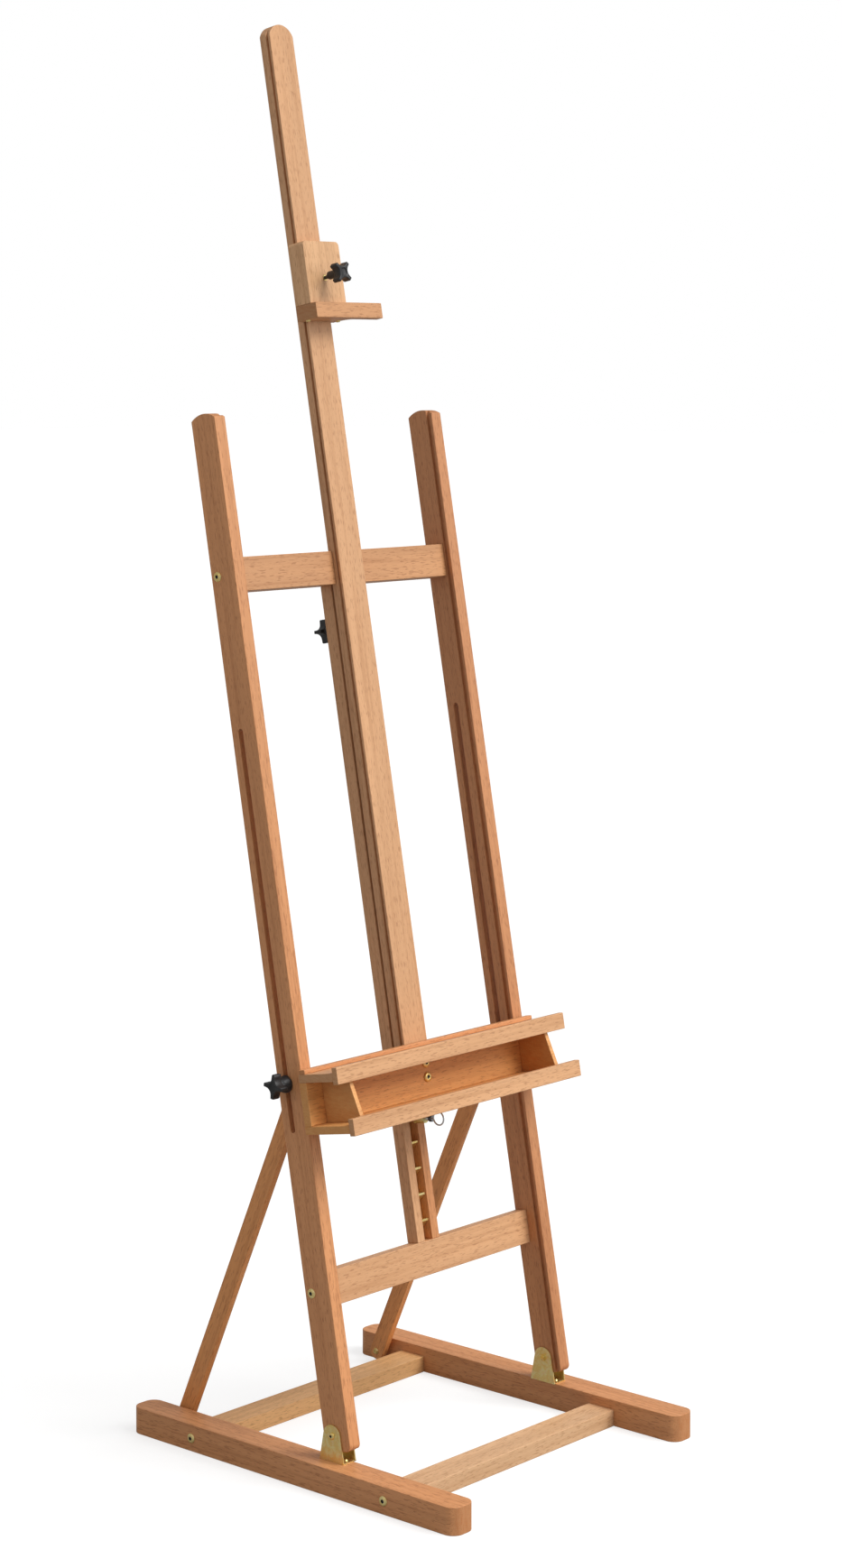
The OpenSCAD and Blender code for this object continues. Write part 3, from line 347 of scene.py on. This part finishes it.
def star_outline(shrink):
    """Angles and radii around a star with hollow flanks, its outline moved inwards by shrink."""
    steps = POINT_STEPS * STAR_POINTS
    half = math.pi / STAR_POINTS
    hollow, reach = HOLLOW * STAR_TIP, HOLLOW_OUT * STAR_TIP
    radii = []
    for i in range(steps):
        angle = math.pi * 2 * i / steps
        off = (angle + half) % (2 * half) - half
        aside = half - abs(off)
        room = hollow * hollow - (reach * math.sin(aside)) ** 2
        radius = STAR_TIP
        if room > 0:
            radius = min(STAR_TIP, reach * math.cos(aside) - math.sqrt(room))
        radii.append((angle, radius - shrink))
    return radii


def star_knob(node, towards, neck, length, bore, turn, material):
    """Moulded star knob: a flared neck and a four-pointed head with round edges and a dished face."""
    mesh = bmesh.new()
    rings = []

    def ring(height, radii):
        rings.append([mesh.verts.new(Vector((r * math.cos(a), r * math.sin(a), height)) * MM)
                      for a, r in radii])

    def round_ring(height, radius):
        ring(height, [(a, radius) for a, r in star_outline(0)])

    top = length + STAR_T
    round_ring(BORE_DEEP, bore)
    round_ring(0.0, bore)
    for height, inset in ((0.0, 0.8), (0.3, 0.25), (0.9, 0.0), (FLARE_LOW, 0.0)):
        round_ring(height, neck - inset)
    waist = min(neck, WAIST)
    for share in (0.25, 0.5, 0.75, 1.0):
        ease = share * share * (3 - 2 * share)
        round_ring(FLARE_LOW + (length - FLARE_SHORT) * share, neck + (waist - neck) * ease)
    ring(length, [(a, min(r, waist + WAIST_FILLET)) for a, r in star_outline(STAR_SOFT)])
    ring(length, star_outline(STAR_SOFT))
    for k in range(1, EDGE_STEPS + 1):
        a = math.pi / 2 * k / EDGE_STEPS
        ring(length + STAR_SOFT * (1 - math.cos(a)), star_outline(STAR_SOFT * (1 - math.sin(a))))
    for k in range(0, EDGE_STEPS + 1):
        a = math.pi / 2 * k / EDGE_STEPS
        ring(top - STAR_SOFT * (1 - math.sin(a)), star_outline(STAR_SOFT * (1 - math.cos(a))))
    for depth, radius in DISH:
        round_ring(top - depth, radius)
    for low, high in zip(rings, rings[1:]):
        for i in range(len(low)):
            j = (i + 1) % len(low)
            mesh.faces.new((low[i], low[j], high[j], high[i]))
    mesh.faces.new(rings[-1])
    mesh.faces.new(list(reversed(rings[0])))
    bmesh.ops.remove_doubles(mesh, verts=mesh.verts, dist=1e-6)
    bmesh.ops.recalc_face_normals(mesh, faces=mesh.faces)
    piece = new_piece(node + "_moulded", mesh, material)
    axis = towards.normalized()
    foot = middle(node) - axis * (top * MM) / 2
    facing = axis.to_track_quat("Z", "Y").to_matrix().to_4x4()
    piece.matrix_world = Matrix.Translation(foot) @ facing @ Matrix.Rotation(turn, 4, "Z")
    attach(piece, node)
    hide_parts(node)


# Connector bolts, in millimetres: a head's thickness and radius, and the radius of a shaft
HEAD_T = 2.5
HEAD_R = 7.5
SHAFT_R = 3.0
# The hexagon socket's size across flats, as a share of the head's width, and the height of its floor
SOCKET = 0.36
SOCKET_FLOOR = 0.5
BOLT_STEPS = 36


def cap_bolts(node, body, spots, radius, reach, material, dark):
    """Connector bolts with domed heads and hexagon sockets, whose floors and walls take the dark material
    as painted shade. A spot is a seat and its outward axis.
    """
    mesh = bmesh.new()
    socket = SOCKET * radius

    def hexagon(angle, across):
        off = (angle + math.pi / 6) % (math.pi / 3) - math.pi / 6
        return across / math.cos(off)

    # Radius, height over the seat, and whether the ring has six sides
    outline = [(0.02, SOCKET_FLOOR, False), (socket, SOCKET_FLOOR, True), (socket, 2.25, True),
               (0.46 * radius, HEAD_T, False), (0.64 * radius, 2.38, False), (0.82 * radius, 1.95, False),
               (0.94 * radius, 1.25, False), (radius, 0.5, False), (0.98 * radius, 0.0, False),
               (SHAFT_R, 0.0, False), (SHAFT_R, -reach, False)]
    for seat, outward in spots:
        facing = Matrix.Translation(seat) @ outward.to_track_quat("Z", "Y").to_matrix().to_4x4()
        loops = []
        for r, height, six_sided in outline:
            loop = []
            for i in range(BOLT_STEPS):
                a = 2 * math.pi * i / BOLT_STEPS
                far = hexagon(a, r) if six_sided else r
                spot = Vector((far * math.cos(a), far * math.sin(a), height)) * MM
                loop.append(mesh.verts.new(facing @ spot))
            loops.append(loop)
        for k, (low, high) in enumerate(zip(loops, loops[1:])):
            for i in range(BOLT_STEPS):
                j = (i + 1) % BOLT_STEPS
                face = mesh.faces.new((low[i], high[i], high[j], low[j]))
                # The socket's floor and walls take the second, dark material: painted shade in the socket
                face.material_index = 1 if k < 2 else 0
        mesh.faces.new(loops[0]).material_index = 1
        mesh.faces.new(loops[-1])
    bmesh.ops.recalc_face_normals(mesh, faces=mesh.faces)
    piece = new_piece(node + "_turned", mesh, material)
    # The dark second material paints shade into the sockets
    piece.data.materials.append(dark)
    sharp = piece.modifiers.new("sharp", "EDGE_SPLIT")
    sharp.split_angle = math.radians(42)
    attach(piece, body)
    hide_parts(node)


COIL_STEPS = 20


def spring(name, centre, along, radius, wire, length, turns, material, body):
    """Coil spring as one swept wire, with sizes in millimetres."""
    curve = bpy.data.curves.new(name, "CURVE")
    curve.dimensions = "3D"
    curve.bevel_depth = wire * MM
    curve.bevel_resolution = 3
    line = curve.splines.new("POLY")
    count = turns * COIL_STEPS
    line.points.add(count)
    facing = along.to_track_quat("Z", "Y")
    for i in range(count + 1):
        a = 2 * math.pi * i / COIL_STEPS
        spot = Vector((radius * math.cos(a), radius * math.sin(a), length * (i / count - 0.5))) * MM
        line.points[i].co = (*(centre + facing @ spot), 1)
    coil = bpy.data.objects.new(name, curve)
    bpy.context.collection.objects.link(coil)
    curve.materials.append(material)
    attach(coil, body)


# ---------------------------------------------------------------- dressing the pieces

for number, (node, (grain, tone)) in enumerate(BOARDS.items()):
    dress(node, beech("beech_" + node, grain, tone, number))
zinc = yellow_zinc()
bright = bright_zinc()
nylon = black_plastic()
# Dark steel: the blued latch nut and holder screw, and also painted shade in the bolts' hexagon sockets
blued_and_socket_shade = bright_zinc("blued_steel_and_socket_shade", (0.10, 0.10, 0.11))
for node in PLATED:
    dress(node, zinc)
for node in BRIGHT:
    dress(node, bright)
for node in ("latch_nut", "holder_screw"):
    dress(node, blued_and_socket_shade)

HIDDEN_WOOD = ("rail_dowels", "frame_dowels")
WOOD_EDGE = 0.0010
SHEET_EDGE = 0.00025
for node in BOARDS:
    if node not in HIDDEN_WOOD:
        ease_edges(node, WOOD_EDGE)
for node in ("left_bracket", "right_bracket"):
    ease_edges(node, SHEET_EDGE, clamped=True)

UP_BACK = Matrix.Rotation(-LEAN, 3, "X") @ Vector((0, 1, 0))
SIDE = Vector((1, 0, 0))


def middle(node):
    low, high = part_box(node)
    return (Vector(low) + Vector(high)) / 2


# Each star knob: the way its head faces, the neck's radius and length, the bore's radius, the star's turn
KNOBS = {
    "left_stay_knob": (-SIDE, 13.0, 15.0, 3.05, math.radians(-5)),
    "right_stay_knob": (SIDE, 13.0, 15.0, 3.05, math.radians(40)),
    "mast_knob": (UP_BACK, 13.0, 15.0, 3.05, 0.0),
    "holder_knob": (-UP_BACK, 6.5, 17.0, 3.0, math.radians(50)),
}
for node, (towards, neck, length, bore, turn) in KNOBS.items():
    star_knob(node, towards, neck, length, bore, turn, nylon)

# The connector bolts' shafts, the pivot bolts' smaller heads, and the gap between the tray bolts
RAIL_BOLT_L = 80.0
CROSSRAIL_BOLT_L = 54.0
PIVOT_BOLT_L, PIVOT_HEAD_R = 34.0, 5.5
TRAY_BOLT_L, TRAY_BOLT_GAP = 27.0, 22.0


def corner(node, inset):
    """Low and high corners of a CAD node's box, moved inwards by inset on Y and Z."""
    low, high = [Vector(c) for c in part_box(node)]
    step = Vector((0, inset, inset)) * MM
    return low + step, high - step


low, high = corner("rail_bolts", HEAD_R)
seats = [(Vector((x, y, (low.z + high.z) / 2)), SIDE * side)
         for side, x in ((-1, low.x + HEAD_T * MM), (1, high.x - HEAD_T * MM)) for y in (low.y, high.y)]
cap_bolts("rail_bolts", "base", seats, HEAD_R, RAIL_BOLT_L, zinc, blued_and_socket_shade)

low, high = corner("crossrail_bolts", HEAD_R)
seats = [(Vector((x, y, z)), SIDE * side)
         for side, x in ((-1, low.x + HEAD_T * MM), (1, high.x - HEAD_T * MM))
         for y, z in ((low.y, low.z), (high.y, high.z))]
cap_bolts("crossrail_bolts", "frame", seats, HEAD_R, CROSSRAIL_BOLT_L, zinc, blued_and_socket_shade)

low, high = [Vector(c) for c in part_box("pivot_bolts")]
seats = [(Vector((x, (low.y + high.y) / 2, (low.z + high.z) / 2)), SIDE * side)
         for side, x in ((-1, low.x + HEAD_T * MM), (1, high.x - HEAD_T * MM))]
cap_bolts("pivot_bolts", "base", seats, PIVOT_HEAD_R, PIVOT_BOLT_L, zinc, blued_and_socket_shade)

centre = middle("tray_bolts")
UP_FRAME = Vector(ALONG["up_frame"])
head_seat = centre - UP_BACK * (TRAY_BOLT_L + HEAD_T) / 2 * MM + UP_BACK * HEAD_T * MM
seats = [(head_seat + UP_FRAME * TRAY_BOLT_GAP / 2 * side * MM, -UP_BACK) for side in (-1, 1)]
cap_bolts("tray_bolts", "carriage", seats, HEAD_R, TRAY_BOLT_L, zinc, blued_and_socket_shade)

spring("latch_spring", middle("latch_barrel"), UP_BACK, radius=3.9, wire=0.35, length=8.0, turns=7,
       material=bright, body="carriage")

# ---------------------------------------------------------------- floor, light and camera

FLOOR_GLOW = 0.70
SKY = 0.42

pale = Finish("pale_floor", Specular_IOR_Level=0.1)
mottle = pale.noise(pale.place(), 0.8, 2, 0.5)
pale.surface("Base Color", pale.blend(mottle, rgb(0.34, 0.34, 0.34), rgb(0.37, 0.37, 0.365)))
pale.surface("Roughness", 0.62 + 0.06 * mottle)
# The floor glows only to the camera, so that it lights nothing
pale.surface("Emission Color", pale.add("ShaderNodeLightPath", {}, {}, out="Is Camera Ray"))
pale.surface("Emission Strength", FLOOR_GLOW)

ground = bmesh.new()
bmesh.ops.create_grid(ground, x_segments=1, y_segments=1, size=60)
floor = new_piece("floor", ground, pale.material)


def soft_light(name, spot, aim, size, power):
    data = bpy.data.lights.new(name, "AREA")
    data.shape = "RECTANGLE"
    data.size, data.size_y = size
    data.energy = power
    lamp = bpy.data.objects.new(name, data)
    lamp.location = spot
    lamp.rotation_euler = (Vector(aim) - Vector(spot)).to_track_quat("-Z", "Y").to_euler()
    bpy.context.collection.objects.link(lamp)


soft_light("front_box", spot=(2.4, -4.0, 2.6), aim=(0, 0, 1.0), size=(2.4, 2.4), power=55)
soft_light("left_box", spot=(-4.2, 0.4, 2.6), aim=(0, 0, 1.0), size=(1.2, 2.4), power=12)

sun = bpy.data.lights.new("key", "SUN")
sun.energy = 2.5
sun.angle = math.radians(35)
key = bpy.data.objects.new("key", sun)
key.rotation_euler = Vector((-0.22, 0.62, -0.75)).to_track_quat("-Z", "Y").to_euler()
bpy.context.collection.objects.link(key)

world = bpy.data.worlds.new("studio")
bpy.context.scene.world = world
world.use_nodes = True
sky = world.node_tree
ray = sky.nodes.new("ShaderNodeLightPath")
strength = sky.nodes.new("ShaderNodeMapRange")
strength.inputs["To Min"].default_value = SKY
strength.inputs["To Max"].default_value = 1.0
sky.links.new(ray.outputs["Is Camera Ray"], strength.inputs["Value"])
sky.nodes["Background"].inputs["Color"].default_value = rgb(1, 1, 1)
sky.links.new(strength.outputs["Result"], sky.nodes["Background"].inputs["Strength"])

CAMERA_SPOT = Vector((-3.487, -3.124, 1.631))
AIM_TURN = math.radians(-48.3)
AIM_DOWN = math.radians(3.61)
eye = bpy.data.cameras.new("camera")
eye.sensor_width = 36
eye.lens = 71.5
eye.shift_y = -0.140
eye.clip_end = 200
camera = bpy.data.objects.new("camera", eye)
bpy.context.collection.objects.link(camera)
look = Vector((-math.sin(AIM_TURN) * math.cos(AIM_DOWN), math.cos(AIM_TURN) * math.cos(AIM_DOWN),
               -math.sin(AIM_DOWN)))
camera.location = CAMERA_SPOT
camera.rotation_euler = look.to_track_quat("-Z", "Y").to_euler()
bpy.context.scene.camera = camera
bpy.context.scene.view_settings.view_transform = "Standard"
